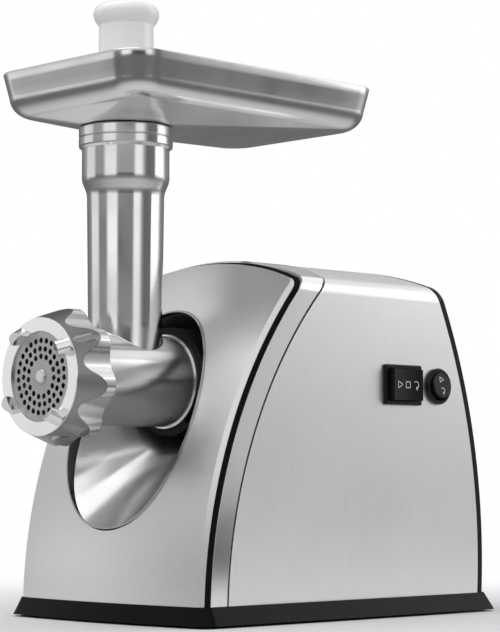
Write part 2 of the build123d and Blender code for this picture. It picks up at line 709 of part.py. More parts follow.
with BuildPart() as tray:
    add(tray_body(0, 0, FLANGE_R, TRAY_RIM_Z))
    add(tray_body(TRAY_T, TRAY_T, FLOOR_THROAT_R, TRAY_RIM_Z + 1), mode=Mode.SUBTRACT)
    with BuildSketch(Plane(origin=(0, NECK_Y, SPIGOT_LOW_Z))):
        Circle(SPIGOT_R)
    extrude(amount=COLLAR_TOP_Z + 2.0 - SPIGOT_LOW_Z)
    with BuildSketch(Plane(origin=(0, NECK_Y, SPIGOT_LOW_Z - 1))):
        Circle(THROAT_R)
    extrude(amount=40, mode=Mode.SUBTRACT)
write(tray, "tray")

# --- pusher: white plastic stamper with a thick rounded rim round its head ---------------
with BuildPart() as pusher:
    with BuildSketch(Plane.XZ.offset(-NECK_Y)):
        with BuildLine():
            Polyline((0, PUSHER_LOW_Z), (PUSHER_R - 1.5, PUSHER_LOW_Z), (PUSHER_R, PUSHER_LOW_Z + 1.5),
                     (PUSHER_R, 312), (PUSHER_NECK_R, PUSHER_RIM_Z - 6.6))
            ThreePointArc((PUSHER_NECK_R, PUSHER_RIM_Z - 6.6), (PUSHER_HEAD_R - 0.8, PUSHER_RIM_Z - 3.4),
                          (PUSHER_HEAD_R, PUSHER_RIM_Z))
            ThreePointArc((PUSHER_HEAD_R, PUSHER_RIM_Z), (PUSHER_HEAD_R - 1.5, PUSHER_RIM_Z + 3.6),
                          (PUSHER_HEAD_R - 6.0, PUSHER_RIM_Z + 5.6))
            Line((PUSHER_HEAD_R - 6.0, PUSHER_RIM_Z + 5.6), (0, PUSHER_TOP_Z))
            Line((0, PUSHER_TOP_Z), (0, PUSHER_LOW_Z))
        make_face()
    revolve(axis=Axis((0, NECK_Y, 0), (0, 0, 1)))
write(pusher, "pusher")

# --- gear train -------------------------------------------------------------------------------
PRESSURE = radians(20)
BACKLASH = 0.10              # taken off each flank, in modules
ADDENDUM = 0.85
DEDENDUM = 1.25


def half_tooth(radius, teeth, module):
    """Half the angle of an involute tooth at a radius, thinned by the backlash."""
    pitch_r = module * teeth / 2
    base_r = pitch_r * cos(PRESSURE)
    at_pitch = pi / (2 * teeth) - BACKLASH * module / pitch_r
    local = acos(base_r / radius) if radius > base_r else 0.0
    return at_pitch + tan(PRESSURE) - PRESSURE - (tan(local) - local)


def gear_blank(teeth, module, towards, tooth_first, y0, y1, x, z):
    """Spur gear along Y.  A tooth, or else a gap, faces the angle towards, in radians."""
    pitch_r = module * teeth / 2
    root_r = pitch_r - DEDENDUM * module
    tip_r = pitch_r + ADDENDUM * module
    rings = (root_r, max(root_r + 0.01, pitch_r * cos(PRESSURE)), pitch_r, tip_r)
    start = towards if tooth_first else towards + pi / teeth
    corners = []
    for tooth in range(teeth):
        middle = start + 2 * pi * tooth / teeth
        for radius in rings:
            angle = middle - half_tooth(radius, teeth, module)
            corners.append((radius * cos(angle), radius * sin(angle)))
        for radius in reversed(rings):
            angle = middle + half_tooth(radius, teeth, module)
            corners.append((radius * cos(angle), radius * sin(angle)))
    plane = Plane(origin=(x, y1, z), x_dir=(1, 0, 0), z_dir=(0, -1, 0))
    with BuildPart() as gear:
        with BuildSketch(plane):
            with BuildLine():
                Polyline(*corners, close=True)
            make_face()
        extrude(amount=y1 - y0)
    return gear.part


# Shaft places, seen from the front.  Each centre distance is the sum of two pitch radii.
MOTOR = (0.0, MOTOR_Z)
REACH_1 = M1 * (T_PINION + T_FIRST) / 2
REACH_2 = M2 * (T_FIRST_PINION + T_SECOND) / 2
REACH_3 = M3 * (T_SECOND_PINION + T_OUTPUT) / 2
SECOND = (SECOND_X, AXIS_Z - sqrt(REACH_3**2 - SECOND_X**2))
SPAN = hypot(SECOND[0] - MOTOR[0], SECOND[1] - MOTOR[1])
ALONG = (REACH_2**2 - REACH_1**2 + SPAN**2) / (2 * SPAN)
ASIDE = sqrt(REACH_2**2 - ALONG**2)
UNIT = ((MOTOR[0] - SECOND[0]) / SPAN, (MOTOR[1] - SECOND[1]) / SPAN)
FIRST = (SECOND[0] + ALONG * UNIT[0] - ASIDE * UNIT[1], SECOND[1] + ALONG * UNIT[1] + ASIDE * UNIT[0])
OUTPUT = (0.0, AXIS_Z)
JOURNAL_R = 4.0
OUTPUT_SHAFT_R = 9.0
GEAR_Y = {"first": (6.0, 12.0), "second": (-5.0, 3.0), "output": (-20.0, -8.0)}


def heading(a, b):
    """Angle from shaft a to shaft b, in radians, from +X towards +Z."""
    return atan2(b[1] - a[1], b[0] - a[0])


with BuildPart() as motor_shaft:
    add(gear_blank(T_PINION, M1, heading(MOTOR, FIRST), True, 5.0, 13.0, *MOTOR))
    add(bar_y(JOURNAL_R, 12.0, 118.0, *MOTOR))
write(motor_shaft, "motor_shaft")

with BuildPart() as first_gear:
    add(gear_blank(T_FIRST, M1, heading(FIRST, MOTOR), False, *GEAR_Y["first"], *FIRST))
    add(bar_y(JOURNAL_R + 2, 5.0, 13.0, *FIRST), mode=Mode.SUBTRACT)
write(first_gear, "first_gear")

with BuildPart() as first_gear_shaft:
    add(gear_blank(T_FIRST_PINION, M2, heading(FIRST, SECOND), True, -5.5, 3.5, *FIRST))
    add(bar_y(JOURNAL_R + 2, 3.5, 13.0, *FIRST))
    add(bar_y(JOURNAL_R, GEARBOX_FRONT_Y + 0.5, GEARBOX_REAR_Y - 0.5, *FIRST))
write(first_gear_shaft, "first_gear_shaft")

with BuildPart() as second_gear:
    add(gear_blank(T_SECOND, M2, heading(SECOND, FIRST), False, *GEAR_Y["second"], *SECOND))
    add(bar_y(JOURNAL_R + 4, -6.0, 4.0, *SECOND), mode=Mode.SUBTRACT)
write(second_gear, "second_gear")

with BuildPart() as second_gear_shaft:
    add(gear_blank(T_SECOND_PINION, M3, heading(SECOND, OUTPUT), True, -20.5, -7.0, *SECOND))
    add(bar_y(JOURNAL_R + 4, -7.0, 4.0, *SECOND))
    add(bar_y(JOURNAL_R, GEARBOX_FRONT_Y + 0.5, GEARBOX_REAR_Y - 0.5, *SECOND))
write(second_gear_shaft, "second_gear_shaft")

with BuildPart() as output_gear:
    add(gear_blank(T_OUTPUT, M3, heading(OUTPUT, SECOND), False, *GEAR_Y["output"], *OUTPUT))
    add(bar_y(OUTPUT_SHAFT_R + 2, -21.0, -7.0, *OUTPUT), mode=Mode.SUBTRACT)
write(output_gear, "output_gear")

# Output shaft: hexagonal socket in front, journal at the rear
with BuildPart() as output_shaft:
    add(bar_y(OUTPUT_SHAFT_R + 3, -40.5, -28.0, *OUTPUT))
    add(bar_y(OUTPUT_SHAFT_R, -28.0, -20.0, *OUTPUT))
    add(bar_y(OUTPUT_SHAFT_R + 2, -20.5, -7.5, *OUTPUT))
    add(bar_y(JOURNAL_R + 2, -7.5, GEARBOX_REAR_Y - 0.5, *OUTPUT))
    with BuildSketch(axis_plane(-26.9)):
        RegularPolygon(HEX_HALF + 0.03, 6, major_radius=False)
    extrude(amount=14.0, mode=Mode.SUBTRACT)
write(output_shaft, "output_shaft")

with BuildPart() as output_bearing:
    add(bar_y(15.0, -27.5, -21.5, *OUTPUT))
    add(bar_y(OUTPUT_SHAFT_R + FIT, -28.0, -21.0, *OUTPUT), mode=Mode.SUBTRACT)
write(output_bearing, "output_bearing")

# --- gearbox: cast housing and a flat rear cover ------------------------------------------------
def gearbox_outline(grow, y):
    """Taut outline round the three big gears, and round the motor pinion."""
    with BuildSketch(xz(y)) as outline:
        with BuildLine():
            CenterArc(OUTPUT, M3 * T_OUTPUT / 2 + 3.2 + grow, 0, 360)
            CenterArc(SECOND, M2 * T_SECOND / 2 + 2.5 + grow, 0, 360)
            CenterArc(FIRST, M1 * T_FIRST / 2 + 2.2 + grow, 0, 360)
            CenterArc(MOTOR, 11.0 + grow, 0, 360)
        make_hull()
    return outline.sketch


COVER_Y = GEARBOX_REAR_Y - GEARBOX_WALL
with BuildPart() as gearbox_housing:
    add(gearbox_outline(GEARBOX_WALL, COVER_Y))
    extrude(amount=COVER_Y - GEARBOX_FRONT_Y, dir=FORWARD)
    with BuildSketch(Plane.XY.offset(POCKET_TOP_Z)):
        with Locations((SECOND_X, -6)):
            Rectangle(30, 30)
    extrude(amount=16)
    add(gearbox_outline(0, COVER_Y + 1))
    extrude(amount=COVER_Y + 1 - GEARBOX_FRONT_Y - GEARBOX_WALL, dir=FORWARD, mode=Mode.SUBTRACT)
    add(bar_y(18.0, -27.9, -21.0, *OUTPUT))
    add(bar_y(15.0, -30.0, -20.0, *OUTPUT), mode=Mode.SUBTRACT)
    for centre in (FIRST, SECOND):
        add(bar_y(JOURNAL_R + FIT, GEARBOX_FRONT_Y - 1, GEARBOX_FRONT_Y + 5, *centre), mode=Mode.SUBTRACT)
write(gearbox_housing, "gearbox_housing")

with BuildPart() as gearbox_cover:
    add(gearbox_outline(GEARBOX_WALL, GEARBOX_REAR_Y))
    extrude(amount=GEARBOX_WALL, dir=FORWARD)
    for centre in (FIRST, SECOND):
        add(bar_y(JOURNAL_R + FIT, COVER_Y - 1, GEARBOX_REAR_Y + 1, *centre), mode=Mode.SUBTRACT)
    add(bar_y(JOURNAL_R + 2 + FIT, COVER_Y - 1, GEARBOX_REAR_Y + 1, *OUTPUT), mode=Mode.SUBTRACT)
    add(bar_y(JOURNAL_R + 2, COVER_Y - 1, GEARBOX_REAR_Y + 1, *MOTOR), mode=Mode.SUBTRACT)
write(gearbox_cover, "gearbox_cover")

# --- motor: universal motor with its fan at the gearbox end -------------------------------------
STATOR_Y = (42.0, 86.0)
STATOR_SIDE = 78.0
STATOR_BORE_R = 24.0
ROTOR_R = 23.4
BOLT_X = 30.0
BEARING_R = 9.0
REAR_BRACKET_Y = (112.0, 116.0)


def square_plate(side, y0, y1):
    """Rounded square plate round the motor's axis."""
    with BuildPart() as plate:
        with BuildSketch(xz(y1)):
            with Locations(MOTOR):
                RectangleRounded(side, side, 8)
                with GridLocations(2 * BOLT_X, 2 * BOLT_X, 2, 2):
                    Circle(2.0, mode=Mode.SUBTRACT)
        extrude(amount=y1 - y0)
    return plate.part


with BuildPart() as motor_stator:
    add(square_plate(STATOR_SIDE, *STATOR_Y))
    add(bar_y(STATOR_BORE_R, 40, 90, *MOTOR), mode=Mode.SUBTRACT)
write(motor_stator, "motor_stator")

with BuildPart() as field_coils:
    for low_y, high_y in ((35.0, STATOR_Y[0]), (STATOR_Y[1], 93.0)):
        add(bar_y(36.0, low_y, high_y, *MOTOR))
        add(bar_y(25.5, low_y, high_y, *MOTOR), mode=Mode.SUBTRACT)
write(field_coils, "field_coils")

with BuildPart() as motor_rotor:
    add(bar_y(ROTOR_R, *STATOR_Y, *MOTOR))
    add(bar_y(JOURNAL_R, 40, 90, *MOTOR), mode=Mode.SUBTRACT)
    with BuildSketch(xz(90)):
        with Locations(MOTOR):
            with PolarLocations(ROTOR_R, 18):
                Rectangle(5.0, 1.8)
    extrude(amount=50, mode=Mode.SUBTRACT)
write(motor_rotor, "motor_rotor")

with BuildPart() as commutator:
    add(bar_y(12.0, 96.0, 108.0, *MOTOR))
    add(bar_y(JOURNAL_R, 95, 110, *MOTOR), mode=Mode.SUBTRACT)
    with BuildSketch(xz(110)):
        with Locations(MOTOR):
            with PolarLocations(12.0, 24):
                Rectangle(1.6, 0.5)
    extrude(amount=20, mode=Mode.SUBTRACT)
write(commutator, "commutator")

FAN_BLADES = 9
with BuildPart() as cooling_fan:
    add(bar_y(30.0, 31.0, 33.0, *MOTOR))
    add(bar_y(9.0, 24.0, 33.0, *MOTOR))
    with BuildSketch(xz(31)):
        with Locations(MOTOR):
            with PolarLocations(19.0, FAN_BLADES):
                Rectangle(21.0, 1.4, rotation=18)
    extrude(amount=7)
    add(bar_y(JOURNAL_R, 20, 40, *MOTOR), mode=Mode.SUBTRACT)
write(cooling_fan, "cooling_fan")

with BuildPart() as front_bracket:
    add(square_plate(STATOR_SIDE, GEARBOX_REAR_Y, GEARBOX_REAR_Y + 4))
    add(bar_y(BEARING_R, 10, 30, *MOTOR), mode=Mode.SUBTRACT)
write(front_bracket, "front_bracket")

with BuildPart() as rear_bracket:
    with BuildSketch(xz(REAR_BRACKET_Y[1])):
        with Locations(MOTOR):
            RectangleRounded(70, 24, 8)
            RectangleRounded(24, 70, 8)
            with PolarLocations(BOLT_X * sqrt(2), 4, start_angle=45):
                Circle(6.0)
            Rectangle(87, 9, rotation=45)
            Rectangle(87, 9, rotation=-45)
            with PolarLocations(BOLT_X * sqrt(2), 4, start_angle=45):
                Circle(2.0, mode=Mode.SUBTRACT)
            Circle(BEARING_R, mode=Mode.SUBTRACT)
    extrude(amount=REAR_BRACKET_Y[1] - REAR_BRACKET_Y[0])
write(rear_bracket, "rear_bracket")

with BuildPart() as motor_bearings:
    for low_y in (GEARBOX_REAR_Y, REAR_BRACKET_Y[0]):
        add(bar_y(BEARING_R, low_y, low_y + 4, *MOTOR))
        add(bar_y(JOURNAL_R + FIT, low_y - 1, low_y + 5, *MOTOR), mode=Mode.SUBTRACT)
write(motor_bearings, "motor_bearings")

with BuildPart() as motor_bolts:
    with BuildSketch(xz(REAR_BRACKET_Y[1])):
        with Locations(MOTOR):
            with GridLocations(2 * BOLT_X, 2 * BOLT_X, 2, 2):
                Circle(1.95)
    extrude(amount=REAR_BRACKET_Y[1] - GEARBOX_REAR_Y)
    with BuildSketch(xz(REAR_BRACKET_Y[1] + 2.0)):
        with Locations(MOTOR):
            with GridLocations(2 * BOLT_X, 2 * BOLT_X, 2, 2):
                RegularPolygon(3.2, 6)
    extrude(amount=2.0)
write(motor_bolts, "motor_bolts")

BRUSH = (14.0, 9.0, 6.0)     # along X, Y and Z
BRUSH_Y = 102.0
with BuildPart() as carbon_brushes:
    for side in (-1, 1):
        with Locations((side * (12.1 + BRUSH[0] / 2), BRUSH_Y, MOTOR_Z)):
            Box(*BRUSH)
write(carbon_brushes, "carbon_brushes")

with BuildPart() as brush_holders:
    for side in (-1, 1):
        with Locations((side * 24.0, BRUSH_Y + 2.0, MOTOR_Z)):
            Box(18.0, 16.0, 10.0)
        with Locations((side * 22.0, BRUSH_Y, MOTOR_Z)):
            Box(25.0, BRUSH[1] + 0.1, BRUSH[2] + 0.1, mode=Mode.SUBTRACT)
write(brush_holders, "brush_holders")

# Rubber cradle that carries the motor on the bottom plate
with BuildPart() as motor_cradle:
    with BuildSketch(Plane.XY.offset(POCKET_TOP_Z)):
        with Locations((0, sum(STATOR_Y) / 2)):
            RectangleRounded(56, 30, 5)
            RectangleRounded(36, 14, 3, mode=Mode.SUBTRACT)
    extrude(amount=MOTOR_Z - STATOR_SIDE / 2 - POCKET_TOP_Z)
write(motor_cradle, "motor_cradle")

# Suppression capacitor on the floor of the base, left of the motor
with BuildPart() as capacitor:
    with BuildSketch(Plane.XY.offset(SKIRT_TOP_Z)):
        with Locations((-65.5, 60)):
            RectangleRounded(14, 28, 2)
    extrude(amount=20)
write(capacitor, "capacitor")

# --- switches on the +X side ------------------------------------------------------------------
BEZEL_T = 2.0
WINDOW = (26.4, 18.4)
PIVOT_X = BODY_HALF_X - 2.0
with BuildPart() as rocker_bezel:
    with BuildSketch(Plane.YZ.offset(BODY_HALF_X)):
        with Locations((ROCKER_Y, SWITCH_Z)):
            RectangleRounded(*ROCKER_SIZE, 1.2)
    extrude(amount=BEZEL_T)
    chamfer(rocker_bezel.edges().group_by(Axis.X)[-1], 0.6)
    with BuildSketch(Plane.YZ.offset(BODY_HALF_X - 22)):
        with Locations((ROCKER_Y, SWITCH_Z)):
            Rectangle(ROCKER_SIZE[0] - 3.2, ROCKER_SIZE[1] - 3.2)
    extrude(amount=22)
    with BuildSketch(Plane.YZ.offset(BODY_HALF_X - 8)):
        with Locations((ROCKER_Y, SWITCH_Z)):
            Rectangle(*WINDOW)
    extrude(amount=12, mode=Mode.SUBTRACT)
write(rocker_bezel, "rocker_bezel")

with BuildPart() as rocker_paddle:
    with BuildSketch(Plane(origin=(0, 0, SWITCH_Z - WINDOW[1] / 2 + 0.35))):
        with BuildLine():
            ends = (ROCKER_Y - WINDOW[0] / 2 + 0.8, ROCKER_Y + WINDOW[0] / 2 - 0.8)
            Polyline((PIVOT_X, ends[0]), (BODY_HALF_X + 5.6, ends[0] + 0.3))
            ThreePointArc((BODY_HALF_X + 5.6, ends[0] + 0.3), (BODY_HALF_X + 4.9, ROCKER_Y),
                          (BODY_HALF_X + 5.6, ends[1] - 0.3))
            Polyline((BODY_HALF_X + 5.6, ends[1] - 0.3), (PIVOT_X, ends[1]),
                     (PIVOT_X - 3.0, ROCKER_Y), (PIVOT_X, ends[0]))
        make_face()
    extrude(amount=WINDOW[1] - 0.7)
write(rocker_paddle, "rocker_paddle")

ROUND_WINDOW_R = 8.4
REST_TILT = 7.0
with BuildPart() as round_bezel:
    with BuildSketch(Plane.YZ.offset(BODY_HALF_X)):
        with Locations((ROUND_Y, SWITCH_Z)):
            Circle(ROUND_R)
    extrude(amount=BEZEL_T + 0.4)
    chamfer(round_bezel.edges().group_by(Axis.X)[-1], 0.8)
    with BuildSketch(Plane.YZ.offset(BODY_HALF_X - 18)):
        with Locations((ROUND_Y, SWITCH_Z)):
            Circle(ROUND_R - 1.6)
    extrude(amount=18)
    with BuildSketch(Plane.YZ.offset(BODY_HALF_X - 7)):
        with Locations((ROUND_Y, SWITCH_Z)):
            Circle(ROUND_WINDOW_R)
    extrude(amount=12, mode=Mode.SUBTRACT)
write(round_bezel, "round_bezel")

tilted = Plane(
    origin=(PIVOT_X, ROUND_Y, SWITCH_Z),
    x_dir=(0, 1, 0),
    z_dir=(cos(radians(REST_TILT)), 0, sin(radians(REST_TILT))),
)
with BuildPart() as round_paddle:
    with BuildSketch(tilted.offset(-2.5)):
        Circle(ROUND_WINDOW_R - 0.9)
    extrude(amount=8.6)
    chamfer(round_paddle.edges().group_by(Axis.X)[-1], 0.5)
write(round_paddle, "round_paddle")
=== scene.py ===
from math import atan2, cos, pi, radians, sin, sqrt

import bpy
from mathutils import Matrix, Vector


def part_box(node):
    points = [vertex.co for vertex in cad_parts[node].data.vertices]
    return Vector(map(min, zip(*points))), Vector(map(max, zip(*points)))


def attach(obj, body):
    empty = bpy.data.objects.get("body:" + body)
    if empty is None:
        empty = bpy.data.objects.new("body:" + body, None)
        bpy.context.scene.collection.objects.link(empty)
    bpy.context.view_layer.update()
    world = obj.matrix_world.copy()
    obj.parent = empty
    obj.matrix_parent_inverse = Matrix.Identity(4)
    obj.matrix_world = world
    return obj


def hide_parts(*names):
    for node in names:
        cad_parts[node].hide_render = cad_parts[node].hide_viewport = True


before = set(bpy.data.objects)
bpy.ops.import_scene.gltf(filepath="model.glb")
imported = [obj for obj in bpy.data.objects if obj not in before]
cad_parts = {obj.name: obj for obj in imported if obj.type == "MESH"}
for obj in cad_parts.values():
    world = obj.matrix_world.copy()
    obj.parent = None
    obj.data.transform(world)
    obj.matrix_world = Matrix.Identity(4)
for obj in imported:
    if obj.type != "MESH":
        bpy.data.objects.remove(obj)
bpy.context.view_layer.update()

MM = 0.001

# --- camera: low, in front of the near corner, looking slightly up -------------------
CAMERA_AT = (0.91317, -0.87023, 0.07811)
CAMERA_TURN = radians(45.79)        # from +Y towards -X
CAMERA_RISE = radians(4.23)
CAMERA_LENS = 124.79                # mm, on a 36 mm long side


def make_camera():
    """The camera, at the angle the object is seen from."""
    data = bpy.data.cameras.new("view_camera")
    data.lens = CAMERA_LENS
    data.sensor_width = 36.0
    camera = bpy.data.objects.new("view_camera", data)
    forward = Vector((
        -sin(CAMERA_TURN) * cos(CAMERA_RISE),
        cos(CAMERA_TURN) * cos(CAMERA_RISE),
        sin(CAMERA_RISE),
    ))
    camera.location = CAMERA_AT
    camera.rotation_euler = forward.to_track_quat("-Z", "Y").to_euler()
    bpy.context.scene.collection.objects.link(camera)
    bpy.context.scene.camera = camera


# --- small node helpers --------------------------------------------------------------
def grey(level):
    return (level, level, level)


class Tree:
    """A material or world node tree with short calls for adding and joining nodes."""

    def __init__(self, owner):
        owner.use_nodes = True
        self.nodes = owner.node_tree.nodes
        self.links = owner.node_tree.links
        self.nodes.clear()

    def add(self, kind, **settings):
        node = self.nodes.new(kind)
        for name, value in settings.items():
            setattr(node, name, value)
        return node

    def link(self, source, target):
        self.links.new(source, target)

    def math(self, operation, first, second=0.0):
        node = self.add("ShaderNodeMath", operation=operation)
        for socket, value in zip(node.inputs, (first, second)):
            if isinstance(value, (int, float)):
                socket.default_value = value
            else:
                self.link(value, socket)
        return node.outputs[0]

    def ramp(self, factor, stops, smooth=True):
        """Colour ramp of grey levels, given as (place, level) pairs."""
        node = self.add("ShaderNodeValToRGB")
        node.color_ramp.interpolation = "EASE" if smooth else "LINEAR"
        elements = node.color_ramp.elements
        while len(elements) < len(stops):
            elements.new(0.5)
        for element, (place, level) in zip(elements, stops):
            element.position = place
            element.color = (level, level, level, 1.0)
        self.link(factor, node.inputs["Fac"])
        return node.outputs["Color"]

    def mix(self, factor, first, second, blend="MIX"):
        """Mix two colours, each a socket or an RGB triple."""
        node = self.add("ShaderNodeMix", data_type="RGBA", blend_type=blend)
        for socket, value in ((node.inputs[0], factor), (node.inputs[6], first), (node.inputs[7], second)):
            if isinstance(value, (int, float)):
                socket.default_value = value
            elif isinstance(value, tuple):
                socket.default_value = (*value, 1.0)
            else:
                self.link(value, socket)
        return node.outputs[2]

    def place(self, stretch):
        """Object coordinates, stretched along each axis."""
        source = self.add("ShaderNodeTexCoord").outputs["Object"]
        mapping = self.add("ShaderNodeMapping")
        mapping.inputs["Scale"].default_value = stretch
        self.link(source, mapping.inputs["Vector"])
        return mapping.outputs["Vector"]

    def split(self, vector):
        """The X, Y and Z of a vector, by name."""
        node = self.add("ShaderNodeSeparateXYZ")
        self.link(vector, node.inputs[0])
        return node.outputs

    def noise(self, stretch, scale, detail=3.0):
        node = self.add("ShaderNodeTexNoise")
        node.inputs["Scale"].default_value = scale
        node.inputs["Detail"].default_value = detail
        node.inputs["Roughness"].default_value = 0.55
        self.link(self.place(stretch), node.inputs["Vector"])
        return node.outputs["Fac"]


# --- studio: pale floor, soft boxes and dark flags all round ----------------------------
# Brightness of the studio by direction, in degrees to the right of the camera
STUDIO_BANDS = (
    (-180, 0.16), (-150, 0.16), (-124, 0.26), (-114, 0.95), (-88, 0.95), (-82, 0.20), (-58, 0.20),
    (-50, 1.25), (-25, 1.25), (-18, 0.03), (24, 0.03), (29, 1.20), (44, 1.20), (52, 0.42),
    (60, 0.14), (80, 0.16), (90, 0.62), (98, 0.98), (122, 0.98), (132, 0.24), (155, 0.16), (180, 0.16),
)
STUDIO_SCALE = 1.3                  # the ramp holds levels up to 1
# Lying strips and flags behind and to the right, by height on the unit sphere
STUDIO_SHELVES = (
    (0.0, 0.45), (0.16, 0.25), (0.22, 0.34), (0.54, 0.36), (0.60, 0.80), (0.73, 0.80), (0.77, 0.34),
    (0.90, 0.42), (1.0, 0.5),
)
# Where the strips and the two front sheets take over from the upright bands: by share of a turn, in
# which 0.5 is the camera's own side, and by height on the unit sphere
STRIPS_AROUND = ((0.74, 0.0), (0.78, 1.0))
STRIPS_ABOVE = ((0.13, 0.0), (0.17, 1.0))
SHEETS_AROUND = ((0.07, 0.0), (0.11, 1.0), (0.60, 1.0), (0.66, 0.0))
SHEETS_ABOVE = ((0.15, 0.0), (0.21, 1.0))
# The left sheet brightens upwards, the front sheet is even
LEFT_SHEET = ((0.0, 0.42), (0.25, 0.45), (0.65, 0.54))
FRONT_SHEET = 0.72
FRONT_SHEET_AROUND = ((0.38, 0.0), (0.46, 1.0))
CEILING = 0.50
CEILING_ABOVE = ((0.70, 0.0), (0.92, 1.0))


def make_studio():
    """World light: upright bands near the horizon, a broad soft ceiling above them."""
    world = bpy.data.worlds.new("studio")
    bpy.context.scene.world = world
    tree = Tree(world)
    direction = tree.split(tree.add("ShaderNodeTexCoord").outputs["Generated"])
    height = direction["Z"]
    angle = tree.math("ARCTAN2", direction["Y"], direction["X"])
    towards_camera = atan2(CAMERA_AT[1], CAMERA_AT[0])
    turns = tree.math("DIVIDE", tree.math("SUBTRACT", angle, towards_camera), 2 * pi)
    around = tree.math("FRACT", tree.math("ADD", turns, 1.5))
    stops = [((degrees + 180) / 360, level / STUDIO_SCALE) for degrees, level in STUDIO_BANDS]
    bands = tree.ramp(around, stops, smooth=False)
    strips = tree.ramp(height, STUDIO_SHELVES, smooth=False)
    at_strips = tree.math("MULTIPLY", tree.ramp(around, STRIPS_AROUND), tree.ramp(height, STRIPS_ABOVE))
    at_sheets = tree.math("MULTIPLY", tree.ramp(around, SHEETS_AROUND), tree.ramp(height, SHEETS_ABOVE))
    sheets = tree.mix(tree.ramp(around, FRONT_SHEET_AROUND), tree.ramp(height, LEFT_SHEET), grey(FRONT_SHEET))
    sides = tree.mix(at_sheets, tree.mix(at_strips, bands, strips), sheets)
    light = tree.mix(tree.ramp(height, CEILING_ABOVE), sides, grey(CEILING))
    seen = tree.add("ShaderNodeLightPath").outputs["Is Camera Ray"]
    shown = tree.mix(seen, light, grey(1.0 / STUDIO_SCALE))
    background = tree.add("ShaderNodeBackground")
    background.inputs["Strength"].default_value = STUDIO_SCALE
    tree.link(shown, background.inputs["Color"])
    output = tree.add("ShaderNodeOutputWorld")
    tree.link(background.outputs[0], output.inputs["Surface"])


def soft_box(name, place, aim, size, power):
    """Square area light that looks from one point to another."""
    data = bpy.data.lights.new(name, "AREA")
    data.shape = "SQUARE"
    data.size = size
    data.energy = power
    lamp = bpy.data.objects.new(name, data)
    lamp.location = place
    lamp.rotation_euler = (Vector(aim) - Vector(place)).to_track_quat("-Z", "Y").to_euler()
    bpy.context.scene.collection.objects.link(lamp)


FLOOR_RADIUS = 4.0
FLOOR_CORNERS = 96
# By share of the floor's radius: how much light it throws on the machine, and where its paper ends
FLOOR_GLOW = ((0.0, 0.75), (0.08, 0.62), (0.20, 0.15), (1.0, 0.13))
PAPER_FADES = ((0.03, 0.0), (0.13, 1.0))


def make_floor():
    """Pale floor that brightens outwards into the white background."""
    angles = [2 * pi * i / FLOOR_CORNERS for i in range(FLOOR_CORNERS)]
    corners = [(FLOOR_RADIUS * cos(angle), FLOOR_RADIUS * sin(angle), 0.0) for angle in angles]
    mesh = bpy.data.meshes.new("floor")
    mesh.from_pydata(corners, [], [tuple(range(FLOOR_CORNERS))])
    floor = bpy.data.objects.new("floor", mesh)
    bpy.context.scene.collection.objects.link(floor)
    material = bpy.data.materials.new("floor_paper")
    tree = Tree(material)
    shader = tree.add("ShaderNodeBsdfPrincipled")
    shader.inputs["Roughness"].default_value = 0.7
    shader.inputs["Specular IOR Level"].default_value = 0.2
    tree.link(tree.mix(tree.noise((1, 1, 1), 3.0), grey(0.86), grey(0.90)), shader.inputs["Base Color"])
    distance = tree.add("ShaderNodeVectorMath", operation="LENGTH")
    tree.link(tree.place((1, 1, 1)), distance.inputs[0])
    share = tree.math("DIVIDE", distance.outputs["Value"], FLOOR_RADIUS)
    white = tree.add("ShaderNodeEmission")
    seen = tree.add("ShaderNodeLightPath").outputs["Is Camera Ray"]
    tree.link(tree.mix(seen, tree.ramp(share, FLOOR_GLOW), grey(1.0)), white.inputs["Color"])
    white.inputs["Strength"].default_value = 1.0
    blend = tree.add("ShaderNodeMixShader")
    tree.link(tree.ramp(share, PAPER_FADES), blend.inputs[0])
    tree.link(shader.outputs[0], blend.inputs[1])
    tree.link(white.outputs[0], blend.inputs[2])
    output = tree.add("ShaderNodeOutputMaterial")
    tree.link(blend.outputs[0], output.inputs["Surface"])
    mesh.materials.append(material)


# --- materials ------------------------------------------------------------------------------
def finish_material(name, colour, roughness, metallic=0.0, bump=None, bump_depth=0.0, edge=0.0, grain=None,
                    **sockets):
    """Principled material: colour, roughness, bump and grain are functions of the tree."""
    material = bpy.data.materials.new(name)
    tree = Tree(material)
    shader = tree.add("ShaderNodeBsdfPrincipled")
    shader.inputs["Metallic"].default_value = metallic
    for socket, value in sockets.items():
        shader.inputs[socket.replace("_", " ")].default_value = value
    tree.link(colour(tree), shader.inputs["Base Color"])
    tree.link(roughness(tree), shader.inputs["Roughness"])
    if grain:
        tree.link(grain(tree), shader.inputs["Tangent"])
    normal = None
    if edge:
        rounded = tree.add("ShaderNodeBevel", samples=4)
        rounded.inputs["Radius"].default_value = edge
        normal = rounded.outputs["Normal"]
    if bump:
        relief = tree.add("ShaderNodeBump")
        relief.inputs["Strength"].default_value = 1.0
        relief.inputs["Distance"].default_value = bump_depth
        tree.link(bump(tree), relief.inputs["Height"])
        if normal:
            tree.link(normal, relief.inputs["Normal"])
        normal = relief.outputs["Normal"]
    if normal:
        tree.link(normal, shader.inputs["Normal"])
    output = tree.add("ShaderNodeOutputMaterial")
    tree.link(shader.outputs[0], output.inputs["Surface"])
    return material


def varied(scale, low, high):
    """Node function: a value that wanders between two levels."""
    def build(tree):
        return tree.ramp(tree.noise((1, 1, 1), scale), ((0.30, low), (0.70, high)), smooth=False)
    return build


def tinted(scale, first, second):
    """Node function: a colour that wanders between two colours."""
    def build(tree):
        return tree.mix(tree.noise((1, 1, 1), scale), first, second)
    return build


